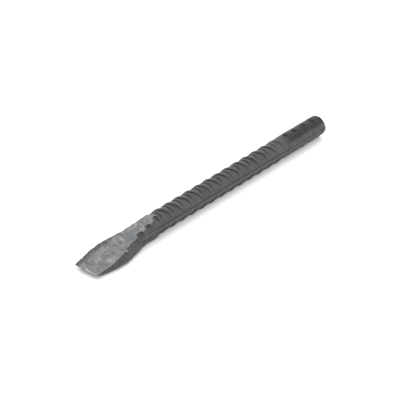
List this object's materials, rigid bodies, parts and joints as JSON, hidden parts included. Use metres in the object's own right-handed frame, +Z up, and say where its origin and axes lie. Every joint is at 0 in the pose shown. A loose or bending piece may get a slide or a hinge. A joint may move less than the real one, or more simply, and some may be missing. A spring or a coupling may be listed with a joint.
{
  "type": "cold chisel",
  "caption": "Flat cold chisel forged from ribbed reinforcing bar, with a flared wedge blade ground on top, a ribbed shank and a plain struck head.",
  "frame": {"origin": "on the plane the tool lies on, under the middle of its length", "axes": "+X along the bar from the cutting edge to the struck head, +Z up out of the ground top face of the blade, +Y across the blade"},
  "size_m": [0.3, 0.0288, 0.0201],
  "materials": {
    "ground_blade": "coarsely ground bare steel with forging scale on its sides",
    "rolled_shank": "hot-rolled mill scale, dull",
    "struck_head": "hammered mill scale, dull"
  },
  "bodies": {
    "root": {"blade": "ground_blade", "shank": "rolled_shank", "head": "struck_head"}
  },
  "joints": []
}
